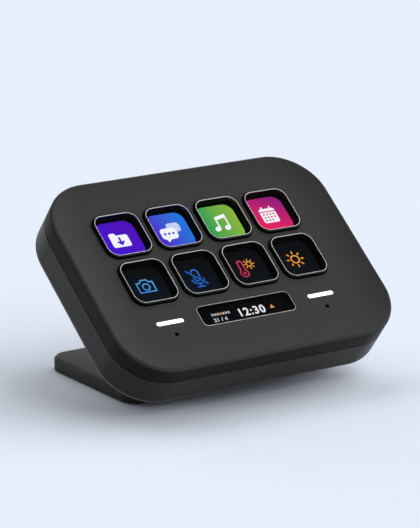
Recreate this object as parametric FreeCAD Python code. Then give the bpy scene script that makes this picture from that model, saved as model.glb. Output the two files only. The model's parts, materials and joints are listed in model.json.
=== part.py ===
import FreeCAD, Part
import math
import os

# A macro keypad: a tilted slab with eight clear display keys, an info strip and two lit touch
# points, carried on a flat foot. Millimetres, +Z up, origin on the table under the middle of the
# whole object's box. Most pieces are modelled in the face frame and then tilted into place:
# X runs right along the face, Y up the face and Z straight out of it, from the plane that the
# keys, the strip and the touch points share.

os.makedirs("parts", exist_ok=True)

# Whole object
body_width = 107.0
body_height = 77.5
body_corner = 17.6
tilt = 38.1                  # degrees from level to the face
face_height = 40.1           # the face's middle above the table
back_depth = 16.0            # face plane to the back's flat
foot_width = 78.5
foot_length = 51.4
foot_back = 45.2             # rear edge of the foot behind the face's middle
foot_thick = 4.9             # table to the foot's upper side

# Front cover
rim_rise = 2.6               # crest of the rim above the face plane
rim_width = 1.0              # crest to the outside
rim_round = 1.2
dish_run = 11.4              # width of the concave ramp inside the crest
skin = 1.1                   # cover thickness over the keys
wall = 2.0
trough_width = 3.0           # hollow under the rim, so that the cover is nowhere thick
trough_top = -0.1
seam_depth = 3.4             # face plane to the cover's lower edge
seam_gap = 0.35
lip_thick = 0.85             # the rear cover's tongue inside the front cover
lip_rise = 1.35
fit_gap = 0.15               # clearance between parts that locate each other

# Rear cover
back_round = 3.5
floor_thick = 2.0

# Keys
key_columns = 4
key_rows = 2
key_pitch = 19.6
key_middle = 7.55            # middle of the key field above the face's middle
key_space = 2.3              # between neighbouring keys
key_corner = 4.1
key_rise = 1.25              # key crest above the face plane
key_gap = 0.3                # round each key in its hole
key_travel = 1.0
key_bevel = 0.2              # round the crest of a key
collar_wall = 0.45           # dark collar round the clear block
lens_depth = 2.2             # face plane down to the clear block's lower side
finger_recess = 0.22         # crest of the collar down to the clear block
tab_reach = 0.65             # the collar's tabs, which keep the key under the cover
tab_length = 6.0
tab_thick = 0.6
tab_clear = 0.1              # tabs under the cover's skin
well_clear = 0.2             # round the tabs in their well

# Key switch layers and display
membrane_sheet = 0.4
dome_width = 0.8
dome_clear = 0.05
sheet_clear = 0.2            # round the clear block in the sheets' openings
lens_clear = 0.2             # pressed block above the display
guide_rim = 1.6              # guide frame and sheets, over the key field
guide_corner = 4.0
film_thick = 0.2
display_top = 3.5            # face plane to the display's glass
display_thick = 1.4
backlight_thick = 1.75
tray_thick = 0.5
insulator_thick = 0.3
board_thick = 1.0
display_rim = 0.4            # display beyond the key field's sides
display_over = 0.85          # display above the key field
display_below = 1.35         # display below the info window
ribbon_width = 20.0

# Info strip and touch points
window_width = 36.1
window_height = 8.0
window_corner = 1.85
window_level = -18.65
window_flange = 1.0
window_bevel = 0.2
bar_length = 10.2
bar_width = 1.5
bar_offset = 29.43
bar_level = -18.6
dimple_level = -23.5
dimple_radius = 0.75
dimple_depth = 0.5
touch_board_size = (22.0, 13.0, 0.8)
touch_board_level = -20.0
touch_board_top = 2.1        # depth of the touch boards' front side
touch_lamps = (-3.0, 0.0, 3.0)

# Screws and bosses
corner_screw_inset = (9.0, 10.25)
board_screw_level = 14.0
board_screw_edge = 2.1       # board's edge beyond its screws
display_to_screw = 4.1
screw_radius = 1.2
shank_clear = 0.3
head_radius = 2.3
head_clear = 0.4
head_height = 1.7
head_sunk = 3.4              # back's flat to the seat of the corner screws' heads
corner_screw_tip = 0.9       # face plane down to the tips of the corner screws
boss_radius = 2.9
post_radius = 3.9
board_post_radius = 2.6
board_screw_bite = 4.5
side_part_inset = 8.7        # board screws to the tall parts near the board's sides

# Socket at the top edge
socket_width = 8.94
socket_height = 3.26
socket_length = 7.35
socket_wall = 0.3
tongue_size = (6.7, 0.7, 5.0)
pocket_width = 13.4
pocket_height = 6.8
pocket_depth = 4.6
pocket_wall = 1.2

# Foot and neck
foot_corner = 6.0
foot_bevel = 0.8
foot_wall = 2.2
foot_roof = 1.6
pad_thick = 1.2
pad_proud = 0.4
pad_inset = 1.3
neck_width = 52.0
neck_front = 1.7             # behind the foot's front edge
neck_length = 17.5
neck_corner = 5.0
neck_plate = 2.6
stand_screw_columns = (-17.0, 17.0)
stand_screw_rows = (-13.5, -5.5)
stand_screw_reach = 6.0
stand_boss_radius = 2.8
neck_screw_offset = 21.5
neck_screw_bite = 5.0
weight_size = (66.0, 26.0, 2.0)

# Worked out from the above
slope = math.radians(tilt)
board_top = display_top + display_thick + backlight_thick + tray_thick + insulator_thick
board_under = board_top + board_thick
corner_screw = (body_width / 2 - corner_screw_inset[0], body_height / 2 - corner_screw_inset[1])
head_seat = back_depth - head_sunk
key_size = key_pitch - key_space
lens_size = key_size - 2 * collar_wall
lens_corner = key_corner - collar_wall
sheet_opening = lens_size + 2 * sheet_clear
well_size = key_size + 2 * (tab_reach + well_clear)
display_width = key_columns * key_pitch + 2 * display_rim
display_upper = key_middle + key_rows * key_pitch / 2 + display_over
display_lower = window_level - window_height / 2 - display_below
board_screw = (display_width / 2 + display_to_screw, board_screw_level)
board_size = (2 * (board_screw[0] + board_screw_edge), 47.0)
tab_top = skin + tab_clear
collar_under = tab_top + tab_thick
sheet_top = display_top - film_thick - membrane_sheet
socket_depth = board_under + socket_height / 2
pocket_floor = body_height / 2 - pocket_depth
foot_front = foot_back - foot_length
rim_front = (
    (rim_round - body_height / 2) * math.cos(slope)
    - (rim_rise - rim_round) * math.sin(slope)
    - rim_round
)
row_shift = -(rim_front + foot_back) / 2
neck_middle = foot_front + neck_front + neck_length / 2


def export(shape, name):
    """Write one piece, after a check that it is whole."""
    if not shape.isValid() or shape.Volume <= 0:
        raise RuntimeError("bad solid: " + name)
    shape.exportStep("parts/" + name + ".step")
    print(name, len(shape.Solids), "solids", round(shape.Volume, 2), "mm3")


def leaning(shape):
    """Bring a shape from the face frame to the table frame under the face's middle."""
    moved = shape.copy()
    moved.rotate(FreeCAD.Vector(0, 0, 0), FreeCAD.Vector(1, 0, 0), tilt)
    moved.translate(FreeCAD.Vector(0, 0, face_height))
    return moved


def tilted(shape):
    """Bring a shape from the face frame to its place on the table."""
    return standing(leaning(shape))


def standing(shape):
    """Bring a shape from the table frame under the face's middle to its place."""
    moved = shape.copy()
    moved.translate(FreeCAD.Vector(0, row_shift, 0))
    return moved


def rounded_outline(width, height, radius, middle=(0, 0), level=0):
    """Closed wire: a rectangle with round corners."""
    cx, cy = middle
    across = width / 2 - radius
    along = height / 2 - radius
    edges = []
    corners = ((1, 1, 0), (-1, 1, 90), (-1, -1, 180), (1, -1, 270))
    arcs = []
    for sx, sy, start in corners:
        centre = FreeCAD.Vector(cx + sx * across, cy + sy * along, level)
        circle = Part.Circle(centre, FreeCAD.Vector(0, 0, 1), radius)
        arcs.append(Part.Arc(circle, math.radians(start), math.radians(start + 90)).toShape())
    for i in range(4):
        edges.append(arcs[i])
        begin = arcs[i].Vertexes[-1].Point
        end = arcs[(i + 1) % 4].Vertexes[0].Point
        if begin.distanceToPoint(end) > 1e-6:
            edges.append(Part.makeLine(begin, end))
    return Part.Wire(edges)


def slab(width, height, radius, low, high, middle=(0, 0)):
    """Rounded rectangle from level low to level high."""
    face = Part.Face(rounded_outline(width, height, radius, middle, low))
    return face.extrude(FreeCAD.Vector(0, 0, high - low))


def block(width, height, low, high, middle=(0, 0)):
    """Plain box from level low to level high, centred on middle."""
    corner = FreeCAD.Vector(middle[0] - width / 2, middle[1] - height / 2, low)
    return Part.makeBox(width, height, high - low, corner)


def rod(radius, low, high, middle=(0, 0)):
    """Cylinder along the frame's third axis."""
    return Part.makeCylinder(radius, high - low, FreeCAD.Vector(middle[0], middle[1], low))


def pan_screw(spot, seat, tip):
    """Screw with its tip at level tip and its head beyond level seat."""
    far = seat + math.copysign(head_height, seat - tip)
    head = rod(head_radius, min(seat, far), max(seat, far), spot)
    shank = rod(screw_radius, min(seat, tip), max(seat, tip), spot)
    return head.fuse(shank).removeSplitter()


def level_edges(shape, level, tolerance=1e-4):
    """Edges that lie wholly at one level."""
    found = []
    for edge in shape.Edges:
        box = edge.BoundBox
        if abs(box.ZMin - level) < tolerance and abs(box.ZMax - level) < tolerance:
            found.append(edge)
    return found


def four_corners(spot):
    """The same spot in all four quadrants."""
    x, y = spot
    return [(x, y), (-x, y), (-x, -y), (x, -y)]


def key_spots():
    """Middles of the keys, left to right, upper row first."""
    spots = []
    for row in range(key_rows):
        for column in range(key_columns):
            x = (column - (key_columns - 1) / 2) * key_pitch
            y = key_middle + ((key_rows - 1) / 2 - row) * key_pitch
            spots.append((x, y))
    return spots


def housing_slab(inset, low, high):
    """The housing's outline, moved inwards by inset."""
    return slab(body_width - 2 * inset, body_height - 2 * inset, body_corner - inset, low, high)


def dish_tool():
    """Bowl that hollows the face: flat in the middle, with a ramp round it up to the crest."""
    ramp_radius = (dish_run ** 2 + rim_rise ** 2) / (2 * rim_rise)
    inset = rim_width + dish_run
    flat_width = body_width - 2 * inset
    flat_height = body_height - 2 * inset
    flat_corner = body_corner - inset
    tool = slab(flat_width + 2 * ramp_radius, flat_height + 2 * ramp_radius,
                flat_corner + ramp_radius, 0, ramp_radius + 1)
    return tool.makeFillet(ramp_radius, level_edges(tool, 0))


def front_cover():
    outside = housing_slab(0, -seam_depth, rim_rise)
    cover = outside.makeFillet(rim_round, level_edges(outside, rim_rise))
    cover = cover.cut(dish_tool())
    cover = cover.cut(housing_slab(wall, -seam_depth, -skin))
    trough = housing_slab(wall, -skin - 1, trough_top)
    cover = cover.cut(trough.cut(housing_slab(wall + trough_width, -skin - 2, trough_top + 1)))
    tongue_room = wall - lip_thick - fit_gap
    cover = cover.cut(housing_slab(tongue_room, -seam_depth, -seam_depth + seam_gap + lip_rise))
    for spot in four_corners(corner_screw):
        cover = cover.fuse(rod(boss_radius, -seam_depth, trough_top - skin / 2, spot))
    for spot in four_corners(corner_screw):
        cover = cover.cut(rod(screw_radius, -seam_depth - 1, -corner_screw_tip, spot))
    for spot in key_spots():
        hole = key_size + 2 * key_gap
        cover = cover.cut(slab(hole, hole, key_corner + key_gap, -skin - 1, 1, spot))
    cover = cover.cut(slab(window_width + 2 * fit_gap, window_height + 2 * fit_gap,
                           window_corner + fit_gap, -skin - 1, 1, (0, window_level)))
    for side in (-1, 1):
        spot = (side * bar_offset, bar_level)
        cover = cover.cut(slab(bar_length, bar_width, bar_width / 2 - 0.001, -skin - 1, 1, spot))
        spot = (side * bar_offset, dimple_level)
        cover = cover.cut(rod(dimple_radius, -dimple_depth, 1, spot))
        cover = cover.fuse(touch_board_posts(side))
    return cover.removeSplitter()


def touch_board_posts(side):
    """Four short posts that hold a touch board off the cover's skin."""
    width, height, thick = touch_board_size
    post = 1.6
    edge = 1.5
    posts = []
    for sx in (-1, 1):
        for sy in (-1, 1):
            spot = (side * bar_offset + sx * (width / 2 - edge),
                    touch_board_level + sy * (height / 2 - edge))
            posts.append(block(post, post, -touch_board_top, -skin / 2, spot))
    return posts[0].multiFuse(posts[1:])


def touch_board(side):
    """Board with its lamps under the bar and a flat plug behind."""
    width, height, thick = touch_board_size
    under = -touch_board_top - thick
    spot = (side * bar_offset, touch_board_level)
    board = block(width, height, under, -touch_board_top, spot)
    for offset in touch_lamps:
        lamp = block(1.6, 0.8, -touch_board_top, -touch_board_top + 0.5,
                     (side * bar_offset + offset, bar_level))
        board = board.fuse(lamp)
    plug = block(4.0, 2.4, under - 0.5, under, (side * (bar_offset + 6), touch_board_level - 3))
    return board.fuse(plug).removeSplitter()


def light_bar(side):
    """Clear white bar, flush with the face, on a flange glued under the cover."""
    spot = (side * bar_offset, bar_level)
    pill = slab(bar_length, bar_width, bar_width / 2 - 0.001, -skin - 0.2, 0, spot)
    flange = block(bar_length + 2, bar_width + 2, -skin - 0.4, -skin, spot)
    return pill.fuse(flange).removeSplitter()


def info_window():
    spot = (0, window_level)
    pane = slab(window_width, window_height, window_corner, -skin - 0.3, 0, spot)
    pane = pane.makeChamfer(window_bevel, level_edges(pane, 0))
    flange = block(window_width + 2 * window_flange, window_height + 2 * window_flange,
                   -skin - 0.6, -skin, spot)
    return pane.fuse(flange).removeSplitter()


def rear_cover():
    """Deep shell with a locating lip, ribs, screw posts and the plug pocket."""
    top = -seam_depth - seam_gap
    floor = -back_depth + floor_thick
    outside = housing_slab(0, -back_depth, top)
    cover = outside.makeFillet(back_round, level_edges(outside, -back_depth))
    lip = housing_slab(wall - lip_thick, top - 2, top + lip_rise)
    cover = cover.fuse(lip.cut(housing_slab(wall, top - 3, top + lip_rise + 1)))
    cover = cover.cut(housing_slab(wall, floor, top + 1))
    cover = cover.fuse(floor_ribs())
    cover = cover.fuse(plug_pocket_walls())
    for spot in four_corners(corner_screw):
        cover = cover.fuse(rod(post_radius, floor - 1, -seam_depth - fit_gap, spot))
    for spot in four_corners(board_screw):
        cover = cover.fuse(rod(board_post_radius, floor - 1, -board_under, spot))
    for spot in four_corners(corner_screw):
        cover = cover.cut(rod(head_radius + head_clear, -back_depth - 1, -head_seat, spot))
        cover = cover.cut(rod(screw_radius + shank_clear, -head_seat - 1, 0, spot))
    for spot in four_corners(board_screw):
        cover = cover.cut(rod(screw_radius, -board_under - board_screw_bite, -board_under + 1, spot))
    cover = cover.cut(plug_pocket())
    for spot in stand_screw_spots():
        cover = cover.cut(rod(screw_radius + shank_clear, -back_depth - 1, floor + 2, spot))
    return cover.removeSplitter()


def floor_ribs():
    """Ribs that stiffen the back, clear of the stand's screw heads."""
    rise = 2.2
    thick = 1.2
    low = -back_depth + floor_thick - 0.5
    high = low + 0.5 + rise
    ribs = []
    for y in (-24.0, 8.0):
        ribs.append(block(body_width - 12, thick, low, high, (0, y)))
    for x in (-30.0, 0.0, 30.0):
        ribs.append(block(thick, body_height - 24, low, high, (x, -3)))
    return ribs[0].multiFuse(ribs[1:])


def upright_slab(width, height, radius, low, high, level):
    """Rounded rectangle that runs up the face, from low to high, centred at the given depth."""
    shape = slab(width, height, radius, 0, high - low)
    shape.rotate(FreeCAD.Vector(0, 0, 0), FreeCAD.Vector(1, 0, 0), -90)
    shape.translate(FreeCAD.Vector(0, low, -level))
    return shape


def plug_pocket_walls():
    low = pocket_floor - pocket_wall
    return upright_slab(pocket_width + 2 * pocket_wall, pocket_height + 2 * pocket_wall, 3.2,
                        low, body_height / 2 - wall / 2, socket_depth)


def plug_pocket():
    """Room for a plug's body, and the smaller hole where the socket comes through."""
    mouth = upright_slab(pocket_width, pocket_height, 2.2, pocket_floor, body_height,
                         socket_depth)
    hole = upright_slab(socket_width + 2 * fit_gap, socket_height + 2 * fit_gap,
                        socket_height / 2, pocket_floor - pocket_wall - 3, pocket_floor + 1,
                        socket_depth)
    return mouth.fuse(hole)


def usb_socket():
    """Folded metal shell, closed at the inner end."""
    top = pocket_floor - 0.1
    shell = upright_slab(socket_width, socket_height, socket_height / 2 - 0.01,
                         top - socket_length, top, socket_depth)
    bore = upright_slab(socket_width - 2 * socket_wall, socket_height - 2 * socket_wall,
                        socket_height / 2 - socket_wall - 0.01,
                        top - socket_length + 1.0, top + 1, socket_depth)
    return shell.cut(bore)


def usb_tongue():
    width, thick, length = tongue_size
    low = pocket_floor - 0.1 - socket_length + 1.0
    tongue = block(width, length, -thick / 2, thick / 2, (0, low + length / 2))
    tongue.translate(FreeCAD.Vector(0, 0, -socket_depth))
    return tongue


def key_lens(spot):
    """Clear block that shows the display under it."""
    return slab(lens_size, lens_size, lens_corner, -lens_depth, key_rise - finger_recess, spot)


def key_skirt(spot):
    """Dark collar moulded round the clear block, with the tabs that keep the key in."""
    collar = slab(key_size, key_size, key_corner, -collar_under, key_rise, spot)
    collar = collar.makeChamfer(key_bevel, level_edges(collar, key_rise))
    reach = key_size + 2 * tab_reach
    for width, height in ((reach, tab_length), (tab_length, reach)):
        collar = collar.fuse(block(width, height, -collar_under, -tab_top, spot))
    bore = slab(lens_size, lens_size, lens_corner, -collar_under - 1, key_rise + 1, spot)
    return collar.cut(bore).removeSplitter()


def check_travel():
    """Stop if a pressed key would bottom out on the sheet or on the display."""
    if sheet_top - collar_under < key_travel:
        raise RuntimeError("no room under the collar")
    if display_top - lens_depth - key_travel < lens_clear:
        raise RuntimeError("no room under the clear block")


def field_slab(low, high):
    """Plate under the whole key field, with an edge round it."""
    return slab(key_columns * key_pitch + guide_rim, key_rows * key_pitch + guide_rim, guide_corner,
                low, high, (0, key_middle))


def key_guide_frame():
    """Lattice of wells that guides the tabs and clamps the membrane."""
    frame = field_slab(-sheet_top, -skin)
    for spot in key_spots():
        frame = frame.cut(block(well_size, well_size, -sheet_top - 1, 0, spot))
    return frame


def switch_membrane():
    """Silicone sheet with an opening and a collapsing ring under each key."""
    sheet = field_slab(-sheet_top - membrane_sheet, -sheet_top)
    ring_size = sheet_opening + 2 * dome_width
    for spot in key_spots():
        ring = block(ring_size, ring_size, -sheet_top - membrane_sheet / 2,
                     -collar_under - dome_clear, spot)
        sheet = sheet.fuse(ring)
    for spot in key_spots():
        sheet = sheet.cut(block(sheet_opening, sheet_opening, -display_top, 0, spot))
    return sheet.removeSplitter()


def switch_film():
    """Thin circuit film on the display, with a window under each key."""
    film = field_slab(-display_top, -display_top + film_thick)
    for spot in key_spots():
        film = film.cut(block(sheet_opening, sheet_opening, -display_top - 1, 0, spot))
    return film


def display_slab(inset, low, high):
    """The display's outline, moved inwards by inset."""
    height = display_upper - display_lower
    return block(display_width - 2 * inset, height - 2 * inset, low, high,
                 (0, (display_upper + display_lower) / 2))


def display_panel():
    return display_slab(0, -display_top - display_thick, -display_top)


def backlight():
    top = -display_top - display_thick
    return display_slab(0.2, top - backlight_thick, top)


def display_tray():
    """Sheet-metal tray with low walls round the display, notched for its ribbon."""
    top = -display_top - display_thick - backlight_thick
    tray = display_slab(-0.6, top - tray_thick, top + 2.2)
    notch = block(ribbon_width + 1, 4, top, top + 4, (0, display_lower))
    return tray.cut(display_slab(-fit_gap, top, top + 4)).cut(notch)


def insulator():
    return display_slab(1.5, -board_top, -board_top + insulator_thick)


def main_board():
    """Board with a tab that carries the socket."""
    board = block(*board_size, -board_under, -board_top)
    tab_start = 20.0
    tab_end = pocket_floor - pocket_wall - 0.3
    tab = block(21.0, tab_end - tab_start, -board_under, -board_top, (0, (tab_end + tab_start) / 2))
    board = board.fuse(tab)
    for spot in four_corners(board_screw):
        board = board.cut(rod(screw_radius + fit_gap, -board_under - 1, 0, spot))
    return board.removeSplitter()


def board_parts():
    """Chips, ribbon sockets and the like on the board's rear side."""
    side = board_screw[0] - side_part_inset
    layout = (
        (10.0, 10.0, 1.2, (-14.0, 10.0)),
        (7.0, 7.0, 0.9, (6.0, 12.5)),
        (5.2, 6.2, 1.6, (21.0, 6.0)),
        (4.5, 4.5, 2.0, (30.0, -9.0)),
        (3.2, 1.6, 1.0, (22.0, 15.0)),
        (3.2, 1.6, 1.0, (28.0, 15.0)),
        (3.2, 1.6, 1.0, (-28.0, 2.0)),
        (24.0, 4.2, 1.2, (0.0, -19.0)),
        (12.0, 4.2, 1.2, (-25.0, 19.0)),
        (5.0, 3.6, 2.2, (-side, -16.0)),
        (5.0, 3.6, 2.2, (side, -17.0)),
    )
    parts = []
    for width, height, rise, spot in layout:
        parts.append(block(width, height, -board_under - rise, -board_under, spot))
    return Part.makeCompound(parts)


def ribbon(width, across, route, thick=0.2):
    """Flat cable: a route in height and depth, swept sideways and given its thickness."""
    points = [FreeCAD.Vector(0, height, -depth) for height, depth in route]
    path = Part.makePolygon(points)
    band = path.extrude(FreeCAD.Vector(width, 0, 0))
    solid = band.makeOffsetShape(thick, 1e-4, fill=True, join=2)
    solid.translate(FreeCAD.Vector(across - width / 2, 0, 0))
    if solid.Volume < 0:
        solid.reverse()
    return solid


def display_ribbon():
    edge = display_lower
    depth = display_top + 0.9
    socket_front = board_under + 0.5
    return ribbon(ribbon_width, 0.0, ((edge, depth), (edge - 3, depth), (edge - 3.6, depth + 0.6),
                                      (edge - 3.6, socket_front - 0.6),
                                      (edge - 3, socket_front), (-21.2, socket_front)))


def film_ribbon():
    edge = key_middle + (key_rows * key_pitch + guide_rim) / 2
    depth = display_top - film_thick / 2
    socket_front = board_under + 0.5
    return ribbon(8.0, -25.0, ((edge, depth), (edge + 2.4, depth), (edge + 3, depth + 0.6),
                               (edge + 3, socket_front - 0.6), (edge + 2.4, socket_front),
                               (21.2, socket_front)))


def housing_screws():
    return Part.makeCompound([pan_screw(spot, -head_seat, -corner_screw_tip - 0.2)
                              for spot in four_corners(corner_screw)])


def board_screws():
    return Part.makeCompound([pan_screw(spot, -board_top, -board_under - board_screw_bite + 0.3)
                              for spot in four_corners(board_screw)])


def stand_screws():
    """Screws put in from inside the housing, heads up, into the neck's bosses."""
    seat = -back_depth + floor_thick
    return Part.makeCompound([pan_screw(spot, seat, -back_depth - stand_screw_reach)
                              for spot in stand_screw_spots()])


def neck_screws():
    """Screws put up through the foot's roof, hidden by the rubber pad."""
    seat = foot_thick - foot_roof
    return Part.makeCompound([pan_screw((side * neck_screw_offset, neck_middle), seat,
                                        foot_thick + neck_screw_bite) for side in (-1, 1)])


def foot_slab(inset, low, high):
    """The foot's outline, moved inwards by inset, in the table frame."""
    middle = (0, (foot_front + foot_back) / 2)
    return slab(foot_width - 2 * inset, foot_length - 2 * inset, foot_corner - inset,
                low, high, middle)


def behind_back():
    """Space under the housing's flat back, in the table frame."""
    return leaning(block(3 * body_width, 3 * body_width, -back_depth - 2 * body_width, -back_depth))


def neck_slab(inset, low, high):
    return slab(neck_width - 2 * inset, neck_length - 2 * inset, neck_corner - inset,
                low, high, (0, neck_middle))


def stand():
    """Foot: a hollow plate with a step round its underside for the rubber pad."""
    foot = foot_slab(0, pad_proud, foot_thick)
    foot = foot.makeChamfer(foot_bevel, level_edges(foot, foot_thick))
    foot = foot.cut(foot_slab(pad_inset, pad_proud, pad_thick))
    foot = foot.cut(foot_slab(foot_wall + pad_inset, pad_thick - 0.5, foot_thick - foot_roof))
    for side in (-1, 1):
        foot = foot.cut(rod(screw_radius + shank_clear, pad_thick, foot_thick + 1,
                            (side * neck_screw_offset, neck_middle)))
    return foot


def stand_neck():
    """Hollow wedge between the foot and the housing, cut off along the housing's flat back."""
    neck = neck_slab(0, foot_thick, face_height).common(behind_back())
    under_plate = behind_back()
    lower = FreeCAD.Vector(0, math.sin(slope), -math.cos(slope))
    under_plate.translate(lower * neck_plate)
    neck = neck.cut(neck_slab(foot_wall, foot_thick - 1, face_height).common(under_plate))
    inner = neck_slab(foot_wall / 2, foot_thick, face_height)
    for spot in stand_screw_spots():
        boss = leaning(rod(stand_boss_radius, -back_depth - stand_screw_reach - 1.5,
                           -back_depth - neck_plate / 2, spot))
        neck = neck.fuse(boss.common(inner))
    for side in (-1, 1):
        spot = (side * neck_screw_offset, neck_middle)
        neck = neck.fuse(rod(stand_boss_radius, foot_thick, foot_thick + neck_screw_bite + 1.5, spot))
    for side in (-1, 1):
        spot = (side * neck_screw_offset, neck_middle)
        neck = neck.cut(rod(screw_radius, foot_thick - 1, foot_thick + neck_screw_bite, spot))
    for spot in stand_screw_spots():
        neck = neck.cut(leaning(rod(screw_radius, -back_depth - stand_screw_reach, -back_depth + 1, spot)))
    return neck.removeSplitter()


def stand_screw_spots():
    return [(x, y) for x in stand_screw_columns for y in stand_screw_rows]


def stand_weight():
    width, length, thick = weight_size
    top = foot_thick - foot_roof
    middle = (0, foot_back - foot_wall - pad_inset - 1 - length / 2)
    return block(width, length, top - thick, top, middle)


def foot_pad():
    """Rubber sheet let into the foot's underside."""
    return foot_slab(pad_inset + 0.1, 0, pad_thick)


def build():
    check_travel()
    export(tilted(front_cover()), "front_cover")
    export(tilted(rear_cover()), "rear_cover")
    export(tilted(info_window()), "info_window")
    for side, word in ((-1, "left"), (1, "right")):
        export(tilted(light_bar(side)), "light_bar_" + word)
        export(tilted(touch_board(side)), "touch_board_" + word)
    for number, spot in enumerate(key_spots(), 1):
        export(tilted(key_lens(spot)), "key_lens_" + str(number))
        export(tilted(key_skirt(spot)), "key_skirt_" + str(number))
    export(tilted(key_guide_frame()), "key_guide_frame")
    export(tilted(switch_membrane()), "switch_membrane")
    export(tilted(switch_film()), "switch_film")
    export(tilted(film_ribbon()), "film_ribbon")
    export(tilted(display_panel()), "display_panel")
    export(tilted(display_ribbon()), "display_ribbon")
    export(tilted(backlight()), "backlight")
    export(tilted(display_tray()), "display_tray")
    export(tilted(insulator()), "insulator")
    export(tilted(main_board()), "main_board")
    export(tilted(board_parts()), "board_parts")
    export(tilted(usb_socket()), "usb_socket")
    export(tilted(usb_tongue()), "usb_tongue")
    export(tilted(board_screws()), "board_screws")
    export(tilted(housing_screws()), "housing_screws")
    export(tilted(stand_screws()), "stand_screws")
    export(standing(neck_screws()), "neck_screws")
    export(standing(stand()), "stand")
    export(standing(stand_neck()), "stand_neck")
    export(standing(stand_weight()), "stand_weight")
    export(standing(foot_pad()), "foot_pad")


build()
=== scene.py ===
import bmesh
import bpy
import json
import math
import numpy as np
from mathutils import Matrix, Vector


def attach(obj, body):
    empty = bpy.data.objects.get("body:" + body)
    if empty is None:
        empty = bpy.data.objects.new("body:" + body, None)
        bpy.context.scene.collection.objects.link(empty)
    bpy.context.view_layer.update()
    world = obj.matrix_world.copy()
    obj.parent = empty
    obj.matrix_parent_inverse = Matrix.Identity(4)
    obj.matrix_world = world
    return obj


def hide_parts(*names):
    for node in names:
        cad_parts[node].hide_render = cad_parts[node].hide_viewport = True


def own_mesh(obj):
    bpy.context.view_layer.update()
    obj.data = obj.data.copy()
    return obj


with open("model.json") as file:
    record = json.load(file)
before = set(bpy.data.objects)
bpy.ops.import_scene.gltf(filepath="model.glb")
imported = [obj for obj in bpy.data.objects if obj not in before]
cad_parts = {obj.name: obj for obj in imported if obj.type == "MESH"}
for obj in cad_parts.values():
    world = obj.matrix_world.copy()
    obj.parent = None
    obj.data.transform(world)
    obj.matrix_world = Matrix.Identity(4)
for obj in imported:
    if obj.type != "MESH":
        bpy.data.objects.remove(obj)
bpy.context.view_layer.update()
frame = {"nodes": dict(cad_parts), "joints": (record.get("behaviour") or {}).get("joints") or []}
nodes = frame["nodes"]
print("frame loaded:", len(nodes), "nodes")

# Where the face lies. Lengths on it are in millimetres from its middle:
# x right, y up the face, z straight out of it.
press = next(joint for joint in frame["joints"] if joint["name"] == "key_1_press")
outAxis = -np.array(press["axis"], float)
outAxis /= np.linalg.norm(outAxis)
upAxis = np.array([0.0, outAxis[2], -outAxis[1]])
faceAxes = np.array([[1.0, 0.0, 0.0], upAxis, outAxis])
faceMiddle = np.zeros(3)     # found below, from the cover and the strip's window
keyNumbers = range(1, 9)


def pointsOf(mesh):
    # all vertices of a mesh, as rows
    co = np.empty(len(mesh.vertices) * 3)
    mesh.vertices.foreach_get("co", co)
    return co.reshape(-1, 3)


def toFace(points):
    # from the frame's metres to the face's millimetres
    return points @ faceAxes.T * 1000 - faceMiddle


def toFrame(points):
    # from the face's millimetres to the frame's metres
    return (np.asarray(points, float) + faceMiddle) @ faceAxes / 1000


def faceBox(name):
    # lowest and highest corner of a CAD node, in the face's millimetres
    placed = toFace(pointsOf(nodes[name].data))
    return placed.min(0), placed.max(0)


def addObject(name, data):
    item = bpy.data.objects.new(name, data)
    bpy.context.scene.collection.objects.link(item)
    return item


coverLow, coverHigh = faceBox("front_cover")
faceMiddle = np.array([*(coverLow + coverHigh)[:2] / 2, faceBox("info_window")[1][2]])


class Wire:
    # An output of a node. Sums, products and comparisons on it add Math nodes.
    def __init__(self, skin, socket):
        self.skin = skin
        self.socket = socket

    def step(self, operation, *others):
        return self.skin.node("ShaderNodeMath", {"operation": operation}, self, *others)

    def flipped(self, operation, other):
        return self.skin.node("ShaderNodeMath", {"operation": operation}, other, self)

    def __add__(self, other): return self.step("ADD", other)
    def __radd__(self, other): return self.flipped("ADD", other)
    def __sub__(self, other): return self.step("SUBTRACT", other)
    def __rsub__(self, other): return self.flipped("SUBTRACT", other)
    def __mul__(self, other): return self.step("MULTIPLY", other)
    def __rmul__(self, other): return self.flipped("MULTIPLY", other)
    def __gt__(self, other): return self.step("GREATER_THAN", other)
    def __lt__(self, other): return self.step("LESS_THAN", other)


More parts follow.
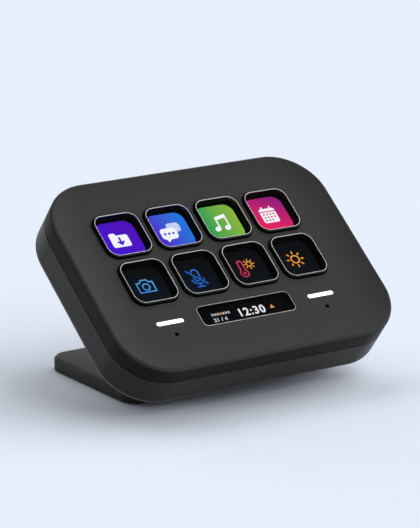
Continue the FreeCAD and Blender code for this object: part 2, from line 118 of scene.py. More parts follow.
class Skin:
    # One material, or the world, and the nodes put into it.
    def __init__(self, owner):
        self.owner = owner
        owner.use_nodes = True
        self.tree = owner.node_tree
        self.tree.nodes.clear()

    def feed(self, socket, value):
        if isinstance(value, Wire):
            self.tree.links.new(value.socket, socket)
        else:
            socket.default_value = value

    def node(self, kind, settings=None, *values, out=0, **named):
        # values fill the sockets in order, and named ones the socket of that name, _ for a space
        made = self.tree.nodes.new(kind)
        for key, value in (settings or {}).items():
            if key == "stops":
                for element, stop in zip(made.color_ramp.elements, value):
                    element.position, element.color = stop
            else:
                setattr(made, key, value)
        for socket, value in zip(made.inputs, values):
            self.feed(socket, value)
        for key, value in named.items():
            self.feed(made.inputs[key.replace("_", " ")], value)
        return Wire(self, made.outputs[out]) if made.outputs else None

    def mix(self, factor, first, second):
        made = self.tree.nodes.new("ShaderNodeMix")
        made.data_type = "RGBA"
        for socket, value in ((0, factor), (6, first), (7, second)):     # those of a colour Mix
            self.feed(made.inputs[socket], value)
        return Wire(self, made.outputs[2])

    def place(self, kind="Object"):
        return self.node("ShaderNodeTexCoord", out=kind)

    def apart(self, vector):
        # the x, y and z of a vector
        split = self.node("ShaderNodeSeparateXYZ", None, vector).socket.node
        return [Wire(self, socket) for socket in split.outputs]

    def noise(self, place, scale, detail=2.0, roughness=0.5):
        return self.node("ShaderNodeTexNoise", Vector=place, Scale=scale, Detail=detail,
                         Roughness=roughness, out="Fac")

    def wave(self, place, scale, direction):
        return self.node("ShaderNodeTexWave", {"bands_direction": direction}, Vector=place,
                         Scale=scale, out="Fac")

    def bump(self, height, depth):
        return self.node("ShaderNodeBump", Strength=1.0, Distance=depth, Height=height)

    def facing(self, axis):
        # how squarely the surface faces along an axis: 1 fully, 0 edge on, -1 the other way
        return self.node("ShaderNodeVectorMath", {"operation": "DOT_PRODUCT"}, self.place("Normal"),
                         axis, out="Value")

    def rise(self, value, low, high):
        # 0 up to low, 1 from high on, and a smooth step between them
        return self.node("ShaderNodeMapRange", {"interpolation_type": "SMOOTHSTEP"}, Value=value,
                         From_Min=low, From_Max=high)

    def shown(self):
        # 1 for what the eye, a gloss or a clear piece shows, 0 for the light the room sends back
        path = self.node("ShaderNodeLightPath").socket.node
        seen, gloss, through = [Wire(self, path.outputs["Is %s Ray" % kind])
                                for kind in ("Camera", "Glossy", "Transmission")]
        return seen.step("MAXIMUM", gloss).step("MAXIMUM", through)

    def principled(self, **sockets):
        # the material with one Principled shader, which has these sockets set or fed
        shader = self.node("ShaderNodeBsdfPrincipled", **sockets)
        self.node("ShaderNodeOutputMaterial", Surface=shader)
        return self.owner


def newSkin(name):
    return Skin(bpy.data.materials.new(name))


def linear(red, green, blue):
    # screen colour 0..255 to the scene's own, with full alpha
    values = np.array([red, green, blue]) / 255
    values = np.where(values <= 0.04045, values / 12.92, ((values + 0.055) / 1.055) ** 2.4)
    return (*values.tolist(), 1.0)


def shade(colour, factor=1.0):
    # a colour times a factor, with full alpha
    return (colour[0] * factor, colour[1] * factor, colour[2] * factor, 1.0)


black, white = (0.0, 0.0, 0.0, 1.0), (1.0, 1.0, 1.0, 1.0)

# Looks. Scales are in periods to a metre and depths in metres. A "side" is painted shade, a darker
# tone where the surface turns away from its axis, and an "edge" is a painted highlight, a paler and
# smoother band where a round back edge turns half way to the back.
housing = {"colour": (0.0535, 0.0531, 0.0525), "spread": 0.07, "driftShare": 0.35,
           "driftScale": 60.0, "grainScale": 3600.0, "speckScale": 11160.0, "speckShare": 0.4,
           "grainDepth": 0.000006, "roughness": 0.45, "roughSpread": 0.16, "roughDrift": 0.06,
           "gloss": 0.16}
# painted shade: the front cover's sides are darker than its face
frontCover = {**housing, "colour": (0.0545, 0.0541, 0.0535), "gloss": 0.08,
              "side": {"colour": (0.0125, 0.0113, 0.0097), "axis": tuple(outAxis.tolist()),
                       "from": 0.1, "to": 0.65}}
# painted highlight: the rear shell's round back edge is paler
rearShell = {**housing, "colour": (0.0370, 0.0344, 0.0311), "roughness": 0.4,
             "edge": {"colour": (0.185, 0.179, 0.170), "axis": tuple((-outAxis).tolist()),
                      "rise": (0.12, 0.55), "fall": (0.72, 0.93), "share": 0.55, "drift": 0.6,
                      "smoother": 0.12}}
# painted shade: the foot's sides are darker than its top
foot = {**housing, "colour": (0.083, 0.0810, 0.0775),
        "side": {"colour": (0.044, 0.0422, 0.0395), "axis": (0.0, 0.0, 1.0),
                 "from": 0.1, "to": 0.65}}
blackGloss = {**housing, "colour": (0.004, 0.004, 0.0045), "spread": 0.1, "roughness": 0.22,
              "roughSpread": 0.05, "grainDepth": 0.0000003, "gloss": 0.5}
wellBlack = {**blackGloss, "colour": (0.0015, 0.0015, 0.0017), "roughness": 0.6, "gloss": 0.05,
             "grainDepth": 0.0000001}


def mouldedPlastic(name, look):
    # satin plastic: slow drift of shade, and a fine eroded grain in colour, gloss and bump
    skin = newSkin(name)
    place = skin.place()
    drift = skin.noise(place, look["driftScale"])
    grain = skin.noise(place, look["grainScale"], detail=3.0, roughness=0.6)
    speck = skin.noise(place, look["speckScale"], detail=1.0)
    lean = drift * look["driftShare"] + grain * (1 - look["driftShare"])
    darker, lighter = 1 - look["spread"], 1 + look["spread"]
    tone = skin.mix(lean, shade(look["colour"], darker), shade(look["colour"], lighter))
    rough = look["roughness"] + (grain - 0.5) * look["roughSpread"]
    rough = rough + (drift - 0.5) * look["roughDrift"]
    if "side" in look:
        # painted shade: where the surface turns away from the axis it takes the darker side colour
        side = look["side"]
        front = skin.rise(skin.facing(side["axis"]).step("ABSOLUTE"), side["from"], side["to"])
        paintedSideShade = skin.mix(lean, shade(side["colour"], darker), shade(side["colour"], lighter))
        tone = skin.mix(front, paintedSideShade, tone)
    if "edge" in look:
        # painted highlight along a round back edge: paler and smoother, strongest where the surface
        # has turned half way to the back
        edge = look["edge"]
        back = skin.facing(edge["axis"])
        turning = skin.rise(back, *edge["rise"]) * (1 - skin.rise(back, *edge["fall"]))
        paintedHighlight = turning * (edge["share"] + drift * edge["drift"])
        tone = skin.mix(paintedHighlight, tone, shade(edge["colour"]))
        rough = rough - paintedHighlight * edge["smoother"]
    return skin.principled(Base_Color=tone, Roughness=rough, Specular_IOR_Level=look["gloss"],
                           Normal=skin.bump(grain + speck * look["speckShare"], look["grainDepth"]))


def plainPlastic(name, colour, **changes):
    # the housing's plastic in another colour, for the parts inside
    return mouldedPlastic(name, {**housing, "colour": colour, **changes})


rolledSteel = {"drawn": (0.04, 1.0, 1.0), "mottle": 0.1, "darker": 0.88, "lighter": 1.08,
               "roughSpread": 0.25, "depth": 0.000004}


def steel(name, colour, streakScale, roughness):
    # rolled or turned metal: long streaks along X over a soft mottle
    skin = newSkin(name)
    place = skin.place()
    drawn = skin.node("ShaderNodeMapping", Vector=place, Scale=rolledSteel["drawn"])
    streak = skin.noise(drawn, streakScale, detail=3.0, roughness=0.6)
    mottle = skin.noise(place, streakScale * rolledSteel["mottle"])
    darker, lighter = shade(colour, rolledSteel["darker"]), shade(colour, rolledSteel["lighter"])
    rough = roughness + (streak - 0.5) * rolledSteel["roughSpread"]
    return skin.principled(Base_Color=skin.mix(mottle, darker, lighter), Roughness=rough,
                           Metallic=1.0, Normal=skin.bump(streak, rolledSteel["depth"]))


clearBlock = {"colour": (1.0, 1.0, 1.0), "ior": 1.49, "roughness": 0.01, "smear": 0.02,
              "smearScale": 420.0, "smearOver": 0.56, "glare": (0.12, 0.12, 0.12)}
clearPane = {**clearBlock, "colour": (0.9, 0.91, 0.93)}


def clearPlastic(name, look):
    # polished clear plastic, a little less smooth in faint smears
    skin = newSkin(name)
    smear = skin.noise(skin.place(), look["smearScale"], detail=4.0, roughness=0.6)
    rough = look["roughness"] + (smear > look["smearOver"]) * look["smear"]
    return skin.principled(Base_Color=shade(look["colour"]), Roughness=rough, IOR=look["ior"],
                           Transmission_Weight=1.0, Specular_Tint=shade(look["glare"]))


boardMask = {"scale": 260.0, "trackOver": 0.72, "acrossOver": 0.52, "alongUnder": 0.46,
             "mask": linear(12, 58, 34), "track": linear(28, 92, 52), "roughness": 0.35,
             "depth": 0.00003}


def circuitBoard(name, look):
    # solder mask over tracks: two crossed stripe patterns, broken up by noise, raise the copper
    skin = newSkin(name)
    place = skin.place()
    patch = skin.noise(place, look["scale"], detail=1.0)
    across = skin.wave(place, look["scale"], "X") > look["trackOver"]
    along = skin.wave(place, look["scale"], "Y") > look["trackOver"]
    shortAcross = across * (patch > look["acrossOver"])
    track = shortAcross.step("MAXIMUM", along * (patch < look["alongUnder"]))
    return skin.principled(Base_Color=skin.mix(track, look["mask"], look["track"]),
                           Roughness=look["roughness"], Normal=skin.bump(track, look["depth"]))


lightBar = {"low": (0.94, 0.95, 0.97, 1.0), "high": white, "cloudScale": 300.0, "strength": 1.0,
            "cover": (0.8, 0.8, 0.8, 1.0), "roughness": 0.35}


def glowing(name, look):
    # lit plastic bar: white, with the faintest clouds
    skin = newSkin(name)
    cloud = skin.noise(skin.place(), look["cloudScale"])
    return skin.principled(Base_Color=look["cover"], Roughness=look["roughness"],
                           Emission_Color=skin.mix(cloud, look["low"], look["high"]),
                           Emission_Strength=look["strength"])


# one finish for each material slot of the record
finishes = {
    "cover_plastic": mouldedPlastic("housing front", frontCover),
    "rear_plastic": mouldedPlastic("housing rear", rearShell),
    "stand_plastic": mouldedPlastic("foot plastic", foot),
    "window_clear": clearPlastic("strip window", clearPane),
    "key_clear": clearPlastic("key block clear", clearBlock),
    "key_black": mouldedPlastic("key collar", blackGloss),
    "display_glass": mouldedPlastic("panel glass", {**blackGloss, "roughness": 0.12}),
    "frame_plastic": plainPlastic("guide frame", (0.006, 0.006, 0.006)),
    "silicone": plainPlastic("membrane silicone", (0.008, 0.008, 0.009), roughness=0.65),
    "circuit_film": plainPlastic("film", (0.02, 0.018, 0.012), roughness=0.3),
    "backlight_white": plainPlastic("light plate", (0.7, 0.7, 0.68)),
    "insulator_film": plainPlastic("insulator", (0.25, 0.18, 0.05)),
    "chip_black": plainPlastic("chip epoxy", (0.012, 0.012, 0.012)),
    "tongue_plastic": plainPlastic("socket tongue", (0.015, 0.015, 0.015)),
    "pad_rubber": plainPlastic("foot rubber", (0.014, 0.014, 0.014), roughness=0.8,
                               grainDepth=0.00002),
    "circuit_board": circuitBoard("board mask", boardMask),
    "tray_steel": steel("tray steel", (0.55, 0.55, 0.54), 2500.0, 0.35),
    "socket_steel": steel("socket steel", (0.62, 0.61, 0.6), 5000.0, 0.28),
    "screw_steel": steel("screw steel", (0.10, 0.10, 0.105), 5000.0, 0.38),
    "weight_steel": steel("weight steel", (0.45, 0.44, 0.43), 1500.0, 0.5),
    "light_bar": glowing("touch bar light", lightBar),
}

slotOf = {}
for name, item in nodes.items():
    slotOf[name] = item.data.materials[0].name.split(".")[0]
    item.data.materials.clear()
    item.data.materials.append(finishes[slotOf[name]])
print("finishes on", len(slotOf), "nodes")


def circle(steps):
    # points round a circle of radius 1, anticlockwise
    turn = np.linspace(0, 2 * np.pi, steps, endpoint=False)
    return np.stack([np.cos(turn), np.sin(turn)], -1)


def roundedLoop(width, height, radius, steps, middle=(0.0, 0.0)):
    # a rectangle with round corners: each point is a corner's centre plus the radius at its angle
    turns = np.radians(np.arange(4)[:, None] * 90 + np.linspace(0, 90, steps + 1)[None, :])
    signs = np.array([[1, 1], [-1, 1], [-1, -1], [1, -1]], float)
    centres = signs * [width / 2 - radius, height / 2 - radius]
    points = centres[:, None, :] + radius * np.stack([np.cos(turns), np.sin(turns)], -1)
    return points.reshape(-1, 2) + np.asarray(middle)


def stackedLoops(size, corner, profile, middle, steps):
    # stack of rounded rectangles: each level has its own inset from the outside and its own height
    loops = []
    for inset, level in profile:
        width, height = size[0] - 2 * inset, size[1] - 2 * inset
        flat = roundedLoop(width, height, corner - inset, steps, middle)
        loops.append(np.column_stack([flat, np.full(len(flat), level)]))
    return np.concatenate(loops), len(loops[0])


def bandFaces(rows, columns, closed=False):
    # quads between neighbouring loops of points, and where closed also from the last to the first
    bands = rows if closed else rows - 1
    row, column = np.meshgrid(np.arange(bands), np.arange(columns), indexing="ij")
    here, above, after = row * columns, (row + 1) % rows * columns, (column + 1) % columns
    quads = np.stack([here + column, here + after, above + after, above + column], -1)
    return quads.reshape(-1, 4).tolist()


def stackFaces(rows, columns):
    # the bands of a stack, with one flat face under it and one on top
    under = list(range(columns - 1, -1, -1))
    onTop = list(range((rows - 1) * columns, rows * columns))
    return bandFaces(rows, columns) + [under, onTop]


def buildPiece(name, points, faces, body, materials, indices=0, uv=None, creases=None):
    # a piece from points in the face's millimetres; given an angle for its creases, it is smooth
    mesh = bpy.data.meshes.new(name)
    mesh.from_pydata(toFrame(points).tolist(), [], faces)
    for material in materials:
        mesh.materials.append(material)
    mesh.polygons.foreach_set("material_index", np.full(len(faces), indices, np.int32))
    mesh.polygons.foreach_set("use_smooth", np.full(len(faces), creases is not None))
    if uv is not None:
        corners = np.empty(len(mesh.loops), np.int32)
        mesh.loops.foreach_get("vertex_index", corners)
        layer = mesh.uv_layers.new(name="picture")
        layer.data.foreach_set("uv", np.asarray(uv)[corners].ravel())
    mesh.update()
    if creases is not None:
        mesh.set_sharp_from_angle(angle=math.radians(creases))
    piece = addObject(name, mesh)
    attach(piece, body)
    return piece


# CAD nodes shown as merged copies, each smooth up to an angle between faces
shells = {"angles": {"front_cover": 28, "rear_cover": 28, "stand": 50, "stand_neck": 28,
                     "switch_membrane": 28},
          "merge": 0.0000005, "normalWeight": 80}


def smoothCopy(name, body):
    mesh = nodes[name].data.copy()
    piece = addObject(name + "_finished", mesh)
    work = bmesh.new()
    work.from_mesh(mesh)
    bmesh.ops.remove_doubles(work, verts=work.verts, dist=shells["merge"])
    work.to_mesh(mesh)
    work.free()
    if "custom_normal" in mesh.attributes:
        mesh.attributes.remove(mesh.attributes["custom_normal"])
    mesh.shade_smooth()
    mesh.set_sharp_from_angle(angle=math.radians(shells["angles"][name]))
    even = piece.modifiers.new("even normals", "WEIGHTED_NORMAL")
    even.keep_sharp = True
    even.weight = shells["normalWeight"]
    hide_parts(name)
    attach(piece, body)
    return piece


for name in ("front_cover", "rear_cover", "stand", "stand_neck"):
    smoothCopy(name, "root")
print("housing and foot done")

# the bright rings are a painted highlight, a pale piece along each key's crest: "in" and "out" are
# insets from the outline, and the crest stands proud
keyShape = {"size": 17.3, "corner": 4.1, "cornerSteps": 12, "lensCorner": 3.65, "bevel": 0.05,
            "creases": 30}
keyRim = {"out": 0.28, "in": 0.58, "proud": 0.03, "drop": 0.13, "under": 1.0}
rimEdge = {"steps": 7, "crestAt": 0.75, "lip": 0.02, "inner": 0.07, "foot": 0.05, "creases": 40}
highlightLook = {"scratchScale": 3000.0, "dull": (0.9, 0.9, 0.9, 1.0), "bright": white,
            "roughness": 0.25, "roughSpread": 0.15, "metal": 0.2}


def paintedHighlightEdge(name, look):
    # painted highlight: a pale, hardly metallic colour, finely varied by a scratch-like noise
    skin = newSkin(name)
    scratch = skin.noise(skin.place(), look["scratchScale"])
    return skin.principled(Base_Color=skin.mix(scratch, look["dull"], look["bright"]),
                           Roughness=look["roughness"] + scratch * look["roughSpread"],
                           Metallic=scratch * look["metal"])


wellWall = mouldedPlastic("key block side", wellBlack)
highlightFinish = paintedHighlightEdge("painted highlight edge", highlightLook)


def clearPart(name, node, body, size, corner, bevel):
    # the clear part of a key or of the strip: polished above and below, dark on its sides
    low, high = faceBox(node)
    middle = (low[:2] + high[:2]) / 2
    profile = [(0.0, low[2]), (0.0, high[2] - bevel), (bevel, high[2])]
    points, columns = stackedLoops(size, corner, profile, middle, keyShape["cornerSteps"])
    indices = [1] * (2 * columns) + [0, 0]     # the two bands of the sides, then the two ends
    piece = buildPiece(name, points, stackFaces(len(profile), columns), body,
                       [finishes[slotOf[node]], wellWall], indices, creases=keyShape["creases"])
    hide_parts(node)
    return middle


def brightRim(name, body, middle, size, corner, crest, look):
    # ring along an outline: the outer flank rises as a quarter sine to the crest, the inner is steep
    turn = np.linspace(0.0, 1.0, rimEdge["steps"])
    top = crest + look["proud"]
    outer = look["out"] + (look["in"] - look["out"]) * rimEdge["crestAt"] * turn
    flank = [top - look["drop"] * (1 - math.sin(part * math.pi / 2)) for part in turn]
    root = min(look["under"], top - look["drop"] - rimEdge["foot"])
    profile = [*zip(outer, flank), (look["in"] - rimEdge["lip"], top - rimEdge["lip"]),
               (look["in"], top - rimEdge["inner"]), (look["in"], look["under"]),
               (look["out"] + rimEdge["lip"], root)]
    points, columns = stackedLoops(size, corner, profile, middle, keyShape["cornerSteps"])
    faces = bandFaces(len(profile), columns, closed=True)
    buildPiece(name, points, faces, body, [highlightFinish], creases=rimEdge["creases"])


keyMiddles = []
for number in keyNumbers:
    body = "key_%d" % number
    lens = "key_lens_%d" % number
    crest = faceBox("key_skirt_%d" % number)[1][2]
    lensLow, lensHigh = faceBox(lens)
    middle = clearPart("key_block_%d" % number, lens, body, (lensHigh - lensLow)[:2],
                       keyShape["lensCorner"], keyShape["bevel"])
    size = (keyShape["size"], keyShape["size"])
    brightRim("key_rim_%d" % number, body, middle, size, keyShape["corner"], crest,
              keyRim)
    keyMiddles.append(middle)
print("key blocks done")

# under each key a silicone ring stands on the membrane
domeRing = {"wall": 0.8, "corner": 1.1, "cornerSteps": 5, "lean": 0.16, "shoulder": 0.12,
            "round": 0.1, "stub": 0.01, "folded": 0.04, "over": 0.1, "creases": 40}


def membraneDomes():
    # the sheet is the CAD node with its rings cut down to stubs, and each ring is its own piece
    sheet = smoothCopy("switch_membrane", "root")
    placed = toFace(pointsOf(sheet.data))
    high = placed[:, 2].max()
    top = np.unique(placed[:, 2].round(3))[1]     # the sheet's upper side, its second level
    crown = placed[:, 2] > top + domeRing["over"]
    # the first ring's half width: the farthest of its points from its key's middle
    offset = np.abs(placed[crown][:, :2] - keyMiddles[0]).max(1)
    half = offset[offset < (keyMiddles[1] - keyMiddles[0])[0] / 2].max()
    base, wall = top + domeRing["stub"], domeRing["wall"]
    lean, bend = domeRing["lean"], domeRing["round"]
    placed[crown, 2] = base
    sheet.data.vertices.foreach_set("co", toFrame(placed).ravel())
    sheet.data.update()
    # closed profile of a ring: it leans in a little towards a round top, its inner side is upright
    profile = [(0.0, base), (lean * 0.4, (base + high) / 2), (lean, high - domeRing["shoulder"]),
               (lean + bend, high), (wall - bend, high), (wall, high - bend), (wall, base)]
    for number, middle in enumerate(keyMiddles, 1):
        points, columns = stackedLoops((2 * half, 2 * half), domeRing["corner"], profile, middle,
                                       domeRing["cornerSteps"])
        faces = bandFaces(len(profile), columns, closed=True)
        ring = buildPiece("membrane_dome_%d" % number, points, faces, "root",
                          [finishes["silicone"]], creases=domeRing["creases"])
        "key_%d_press" % number
        domeRing["folded"] / (high - base)
        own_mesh(ring)


membraneDomes()
print("membrane done")


class Drawing:
    # Flat patches in millimetres round a middle, one above the other, gathered into one mesh.
    def __init__(self, middle, size):
        self.middle = middle
        self.size = size
        self.points, self.faces, self.indices, self.materials = [], [], [], []
        self.count = 0

    def patch(self, flat, faces, level, material):
        if material not in self.materials:
            self.materials.append(material)
        self.points.append(np.column_stack([flat, np.full(len(flat), level)]))
        self.faces += [(np.asarray(face) + self.count).tolist() for face in faces]
        self.indices += [self.materials.index(material)] * len(faces)
        self.count += len(flat)

    def plate(self, outline, level, material):
        # a filled outline, anticlockwise
        self.patch(outline, [range(len(outline))], level, material)

    def disc(self, middle, radius, level, material, steps):
        self.plate(circle(steps) * radius + middle, level, material)

    def stroke(self, path, width, level, material, closed=False):
        # a line of even width: each point moves half the width to both sides, along the bisector
        path = np.asarray(path, float)
        ahead = np.roll(path, -1, 0) - path
        behind = path - np.roll(path, 1, 0)
        if not closed:
            ahead[-1], behind[0] = behind[-1], ahead[0]
        ahead /= np.linalg.norm(ahead, axis=1)[:, None]
        behind /= np.linalg.norm(behind, axis=1)[:, None]
        side = np.stack([-(ahead + behind)[:, 1], (ahead + behind)[:, 0]], -1)
        side /= np.linalg.norm(side, axis=1)[:, None]
        # at a corner it moves by more than half the width: that, over the sine of bisector and line
        stretch = np.clip(np.abs(side[:, 1] * ahead[:, 0] - side[:, 0] * ahead[:, 1]), 0.4, 1)
        offset = side * (width / 2) / stretch[:, None]
        count = len(path)
        first = np.arange(count if closed else count - 1)
        after = (first + 1) % count
        faces = np.stack([count + first, count + after, after, first], -1)
        self.patch(np.concatenate([path + offset, path - offset]), faces, level, material)

    def build(self, name):
        points = np.concatenate(self.points)
        placed = points + [self.middle[0], self.middle[1], panelTop + panelLift]
        buildPiece(name, placed, self.faces, "root", self.materials, self.indices,
                   uv=points[:, :2] / self.size + 0.5)


screen = {"rows": 20.0, "rowShade": 0.06, "roughness": 0.4, "gloss": 0.1}


def screenGradient(name, look):
    # backlit picture: a ramp of colour across it, and the panel's fine rows
    skin = newSkin(name)
    place = skin.place("UV")
    u, v = skin.apart(place)[:2]
    lean = u * look["along"][0] + v * look["along"][1] + look["shift"]
    tone = skin.node("ShaderNodeValToRGB", {"stops": look["stops"]}, lean)
    tone = skin.mix(skin.wave(place, screen["rows"], "Y") * screen["rowShade"], tone, black)
    return skin.principled(Base_Color=black, Roughness=screen["roughness"], Emission_Color=tone,
                           Specular_IOR_Level=screen["gloss"], Emission_Strength=1.0)


def picture(first, second, along=(0.7, 0.7), shift=-0.2):
    # a ramp between two screen colours, by u times along[0] plus v times along[1] plus the shift
    stops = [(0.0, linear(*first)), (1.0, linear(*second))]
    return {"stops": stops, "along": along, "shift": shift}


plainWhite = screenGradient("picture white", picture((244, 246, 252), (255, 255, 255)))
grounds = {
    1: picture((66, 20, 214), (82, 12, 190)),
    2: picture((78, 24, 205), (30, 120, 226), (1.0, 0.35)),
    3: picture((22, 160, 86), (140, 186, 60), (1.1, 0.15), -0.15),
    4: picture((250, 34, 92), (140, 28, 124), (0.45, 0.75), -0.1),
    5: picture((9, 20, 32), (6, 9, 14), (0.2, 1.0), 0.0),
    6: picture((9, 18, 32), (6, 9, 14), (0.2, 1.0), 0.0),
    7: picture((9, 14, 22), (6, 9, 14), (0.2, 1.0), 0.0),
    8: picture((9, 14, 22), (6, 9, 14), (0.2, 1.0), 0.0),
}
inkColours = {
    "violet": ((70, 18, 205), (82, 12, 190)),
    "blue": ((70, 50, 214), (40, 110, 226)),
    "lilac": ((190, 190, 250), (210, 222, 255)),
    "rose": ((238, 40, 96), (190, 34, 110)),
    "azure": ((34, 104, 190), (92, 176, 232)),
    "deep blue": ((36, 92, 190), (40, 120, 214)),
    "red": ((150, 36, 84), (236, 66, 78)),
    "orange": ((242, 132, 40), (255, 190, 70)),
    "amber": ((214, 150, 60), (236, 170, 80)),
    "soft white": ((188, 192, 200), (206, 210, 218)),
    "black": ((4, 5, 7), (6, 7, 9)),
}
inks = {name: screenGradient("ink " + name, picture(*ends)) for name, ends in inkColours.items()}
panelTop = faceBox("display_panel")[1][2]
panelLift = 0.02     # the lowest layer of a drawing lies this far above the panel
upper = 0.03         # and each layer this far above the last
lineWidth = 0.52     # of the line pictures
groundShape = {"side": 14.7, "corner": 3.5, "cornerSteps": 8}


def arcPath(middle, radius, start, stop, steps=14):
    turn = np.radians(np.linspace(start, stop, steps))
    return np.stack([np.cos(turn), np.sin(turn)], -1) * radius + middle


# The pictures, each in millimetres from the middle of its key.


def drawFolder(art):
    art.plate(roundedLoop(6.8, 4.8, 0.7, 4, (0.0, -0.5)), upper, plainWhite)
    tab = [(-3.4, 1.4), (-0.6, 1.4), (-0.9, 2.5), (-1.3, 2.9), (-2.9, 2.9), (-3.4, 2.4)]
    art.plate(tab, upper, plainWhite)
    art.stroke([(0.0, 1.1), (0.0, -1.6)], 0.75, 2 * upper, inks["violet"])
    art.stroke([(-1.2, -0.6), (0.0, -1.8), (1.2, -0.6)], 0.75, 2 * upper, inks["violet"])


def drawTalk(art):
    art.plate(roundedLoop(5.0, 3.8, 1.2, 5, (1.7, 1.4)), upper, inks["lilac"])
    art.plate(roundedLoop(6.2, 4.6, 1.4, 5, (-1.0, -0.8)), 2 * upper, plainWhite)
    art.plate([(-2.9, -2.6), (-2.6, -4.3), (-0.8, -2.9)], 2 * upper, plainWhite)
    for x in (-2.6, -1.0, 0.6):
        art.disc((x, -0.8), 0.5, 3 * upper, inks["blue"], 14)


def drawNotes(art):
    lean = math.radians(24)
    turned = np.array([[math.cos(lean), math.sin(lean)], [-math.sin(lean), math.cos(lean)]])
    for x in (-1.9, 1.9):
        art.plate(circle(24) * (1.25, 0.95) @ turned + (x, -2.2), upper, plainWhite)
        art.stroke([(x + 0.9, -2.1), (x + 0.9, 2.2)], 0.6, upper, plainWhite)
    art.plate([(-1.3, 1.3), (3.1, 2.1), (3.1, 3.5), (-1.3, 2.7)], 2 * upper, plainWhite)


def drawCalendar(art):
    art.plate(roundedLoop(6.2, 6.0, 0.9, 5, (0.0, -0.2)), upper, plainWhite)
    art.stroke([(-3.1, 1.45), (3.1, 1.45)], 0.42, 2 * upper, inks["rose"])
    for x in (-1.6, 1.6):
        art.stroke([(x, 2.2), (x, 3.6)], 0.6, 2 * upper, plainWhite)
    for row, columns in enumerate((4, 4, 3)):
        for column in range(columns):
            spot = (-1.95 + column * 1.3, 0.35 - row * 1.25)
            art.plate(roundedLoop(0.7, 0.7, 0.15, 2, spot), 2 * upper, inks["rose"])


def drawCamera(art):
    body = [(-3.0, -2.2), (3.0, -2.2), (3.0, 1.6), (1.7, 1.6), (1.1, 2.6), (-1.1, 2.6), (-1.7, 1.6),
            (-3.0, 1.6)]
    art.stroke(body, lineWidth, upper, inks["azure"], closed=True)
    art.stroke(arcPath((0.0, -0.2), 1.25, 0, 346, 26), lineWidth, upper, inks["azure"], closed=True)


def drawMicrophone(art):
    ink = inks["deep blue"]
    ends = [arcPath((0.0, 2.0), 1.2, 0, 180), arcPath((0.0, -0.2), 1.2, 180, 360)]
    capsule = np.concatenate(ends)
    art.stroke(capsule, lineWidth, upper, ink, closed=True)
    art.stroke(arcPath((0.0, -0.2), 2.35, 190, 350), lineWidth, upper, ink)
    art.stroke([(0.0, -2.5), (0.0, -3.7)], lineWidth, upper, ink)
    art.stroke([(-1.5, -3.7), (1.5, -3.7)], lineWidth, upper, ink)
    art.stroke([(-3.1, 3.1), (2.9, -3.2)], 1.3, 2 * upper, inks["black"])
    art.stroke([(-3.1, 3.1), (2.9, -3.2)], lineWidth, 3 * upper, ink)


def drawSun(art, middle, radius, ray, width, ink):
    # a ring with eight spokes outside it
    middle = np.array(middle)
    art.stroke(arcPath(middle, radius, 0, 345, 24), width, upper, ink, closed=True)
    for degrees in range(0, 360, 45):
        turn = math.radians(degrees)
        spoke = np.array([math.cos(turn), math.sin(turn)])
        ends = [middle + spoke * (radius + ray * 0.6), middle + spoke * (radius + ray * 1.6)]
        art.stroke(ends, width, upper, ink)


def drawHeat(art):
    ends = [arcPath((-1.6, -1.6), 1.5, 125, 415, 20), arcPath((-1.6, 2.6), 0.86, 0, 180, 10)]
    art.stroke(np.concatenate(ends), lineWidth, upper, inks["red"], closed=True)
    art.disc((-1.6, -1.6), 0.6, upper, inks["red"], 18)
    drawSun(art, (1.7, 1.7), 0.95, 0.72, 0.36, inks["orange"])


def drawDay(art):
    drawSun(art, (0.0, 0.3), 1.5, 1.15, 0.46, inks["orange"])


drawers = (drawFolder, drawTalk, drawNotes, drawCalendar, drawCamera, drawMicrophone, drawHeat,
           drawDay)
for number, middle, draw in zip(keyNumbers, keyMiddles, drawers):
    side = groundShape["side"]
    drawing = Drawing(middle, side)
    outline = roundedLoop(side, side, groundShape["corner"], groundShape["cornerSteps"])
    drawing.plate(outline, 0.0, screenGradient("picture %d" % number, grounds[number]))
    draw(drawing)
    drawing.build("key_picture_%d" % number)
print("key pictures done")

strip = {"size": (36.1, 8.0), "corner": 1.85, "bevel": 0.05, "uvSize": 30.0,
         "rim": {"out": 0.0, "in": 0.16, "proud": 0.02, "drop": 0.05, "under": -0.3},
         "ground": (35.6, 7.6), "groundCorner": 1.4, "groundSteps": 5,
         "time": "12:30", "timeSize": 4.3, "timeAt": (-2.1, -0.95),
         "date": "21 / 4", "dateSize": 1.9, "dateAt": (-11.8, -1.3), "bold": 0.1, "spacing": 1.14,
         "dots": 7, "litDot": 3, "dotsAt": (-11.4, 1.5), "dotGap": 1.05, "dot": (0.7, 0.9),
         "dotCorner": 0.1, "dotSteps": 2,
         "mark": [(10.6, 0.1), (12.4, 0.1), (11.5, 1.6)]}


def addDigits(drawing, text, size, place, ink):
    # plain numbers: the built-in font made a mesh, whose points then move to their place
    curve = bpy.data.curves.new("digits", "FONT")
    curve.body = text
    curve.size = size
    curve.offset = strip["bold"]
    curve.space_character = strip["spacing"]
    curve.resolution_u = 3
    item = addObject("digits", curve)
    bpy.context.view_layer.update()
    mesh = bpy.data.meshes.new_from_object(item)
    bpy.data.objects.remove(item)
    faces = [face.vertices for face in mesh.polygons]
    drawing.patch(pointsOf(mesh)[:, :2] + place, faces, upper, ink)


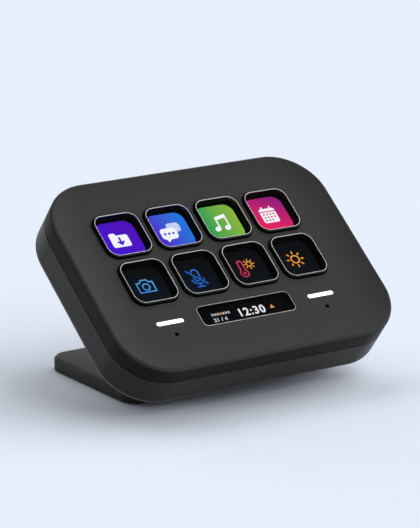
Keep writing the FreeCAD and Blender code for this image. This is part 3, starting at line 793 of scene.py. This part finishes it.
def infoStrip():
    size, corner = strip["size"], strip["corner"]
    middle = clearPart("strip_pane", "info_window", "root", size, corner, strip["bevel"])
    # painted highlight: a pale ring along the window's outline, as on the keys
    brightRim("strip_rim", "root", middle, size, corner, 0.0, strip["rim"])
    drawing = Drawing(middle, strip["uvSize"])
    ground = screenGradient("strip ground", picture((3, 4, 6), (4, 5, 7)))
    outline = roundedLoop(*strip["ground"], strip["groundCorner"], strip["groundSteps"])
    drawing.plate(outline, 0.0, ground)
    addDigits(drawing, strip["time"], strip["timeSize"], strip["timeAt"], plainWhite)
    addDigits(drawing, strip["date"], strip["dateSize"], strip["dateAt"], inks["soft white"])
    for dot in range(strip["dots"]):
        spot = (strip["dotsAt"][0] + dot * strip["dotGap"], strip["dotsAt"][1])
        ink = inks["amber"] if dot == strip["litDot"] else inks["soft white"]
        outline = roundedLoop(*strip["dot"], strip["dotCorner"], strip["dotSteps"], spot)
        drawing.plate(outline, upper, ink)
    drawing.plate(strip["mark"], upper, inks["amber"])
    drawing.build("strip_picture")


infoStrip()
print("info strip done")

# a dark sensor in each dimple below the light bars: a short plug with a bevelled edge
sensor = {"radius": 0.72, "at": (29.43, -23.5), "low": -0.62, "high": -0.3, "edge": 0.06,
          "cornerSteps": 8}
for side, word in ((-1, "left"), (1, "right")):
    spot = (sensor["at"][0] * side, sensor["at"][1])
    shoulder = sensor["high"] - sensor["edge"]
    profile = [(0.0, sensor["low"]), (0.0, shoulder), (sensor["edge"], sensor["high"])]
    size = (2 * sensor["radius"], 2 * sensor["radius"])
    corner = sensor["radius"] - 0.001     # a hair less, so that no side has zero length
    points, columns = stackedLoops(size, corner, profile, spot, sensor["cornerSteps"])
    faces = stackFaces(len(profile), columns)
    buildPiece("sensor_" + word, points, faces, "root", [wellWall])
print("sensors done")

camera = {"at": (-0.54003, -0.80226, 0.29863), "aim": (-0.0030, -0.0048, 0.0401), "lens": 208.6,
          "sensor": 36.0, "near": 0.01, "far": 100.0}


def addCamera():
    lens = bpy.data.cameras.new("camera")
    lens.lens = camera["lens"]
    lens.sensor_width = camera["sensor"]
    lens.clip_start, lens.clip_end = camera["near"], camera["far"]
    eye = addObject("camera", lens)
    eye.location = camera["at"]
    sight = Vector(camera["aim"]) - Vector(camera["at"])
    eye.rotation_euler = sight.to_track_quat("-Z", "Y").to_euler()
    bpy.context.scene.camera = eye


lamps = {"sun": {"strength": 3.32, "angle": 95.0, "from": (0.8, -0.45, 0.65)},
         "fill": {"strength": 1.6, "angle": 70.0, "from": (-0.12, 1.0, 0.7)}}


def addLamp(name, look):
    # a wide soft lamp far away; gloss and clear pieces show the sky and the backdrop instead of it
    lamp = bpy.data.lights.new(name, "SUN")
    lamp.energy = look["strength"]
    lamp.angle = math.radians(look["angle"])
    item = addObject(name, lamp)
    item.rotation_euler = Vector(look["from"]).to_track_quat("Z", "Y").to_euler()
    item.visible_glossy = False
    item.visible_transmission = False


sky = {"dome": 0.09, "back": 0.1}


def addSky():
    # dim dome that brightens towards the back
    skin = Skin(bpy.data.worlds.new("sky"))
    bpy.context.scene.world = skin.owner
    back = skin.apart(skin.place("Generated"))[1].step("MAXIMUM", 0.0)
    glow = skin.node("ShaderNodeBackground", Color=white, Strength=sky["dome"] + back * sky["back"])
    skin.node("ShaderNodeOutputWorld", Surface=glow)


pale = linear(233, 241, 254)     # the floor and the backdrop
floor = {"half": 12.0, "cloudScale": 3.0, "cloud": 0.99, "bounce": 0.5, "roughness": 0.9,
         "gloss": 0.1}
backdrop = {"radius": 9.0, "height": 2.4, "steps": 48, "cloudScale": 0.5, "cloud": 0.98,
            "roughness": 0.9}


def cloudy(skin, look):
    # the pale colour, a touch darker in wide soft clouds
    cloud = skin.noise(skin.place(), look["cloudScale"])
    return skin.mix(cloud, shade(pale, look["cloud"]), shade(pale))


def stagePiece(name, points, faces, material):
    mesh = bpy.data.meshes.new(name)
    mesh.from_pydata(points, [], faces)
    mesh.materials.append(material)
    item = addObject(name, mesh)
    return item


def addFloor():
    # pale and even to the eye and in gloss; what it sends back to matt surfaces is dimmer
    skin = newSkin("floor")
    tone = skin.mix(skin.shown(), shade(white, floor["bounce"]), cloudy(skin, floor))
    material = skin.principled(Base_Color=tone, Roughness=floor["roughness"],
                               Specular_IOR_Level=floor["gloss"])
    half = floor["half"]
    corners = [(-half, -half, 0), (half, -half, 0), (half, half, 0), (-half, half, 0)]
    stagePiece("floor", corners, [(0, 1, 2, 3)], material)


def addBackdrop():
    # a low round wall far behind everything, as pale as the floor, for views along the ground
    skin = newSkin("backdrop")
    tone = skin.mix(skin.shown(), black, cloudy(skin, backdrop))
    material = skin.principled(Base_Color=black, Roughness=backdrop["roughness"],
                               Specular_IOR_Level=0.0, Emission_Color=tone, Emission_Strength=1.0)
    flat = circle(backdrop["steps"]) * backdrop["radius"]
    rings = [np.column_stack([flat, np.full(len(flat), level)])
             for level in (0.0, backdrop["height"])]
    inwards = np.array(bandFaces(2, len(flat)))[:, ::-1]
    item = stagePiece("backdrop", np.concatenate(rings).tolist(), inwards.tolist(), material)
    item.visible_shadow = False


addCamera()
for name, look in lamps.items():
    addLamp(name, look)
addSky()
addFloor()
addBackdrop()
bpy.context.scene.view_settings.view_transform = "Standard"
print("room done")
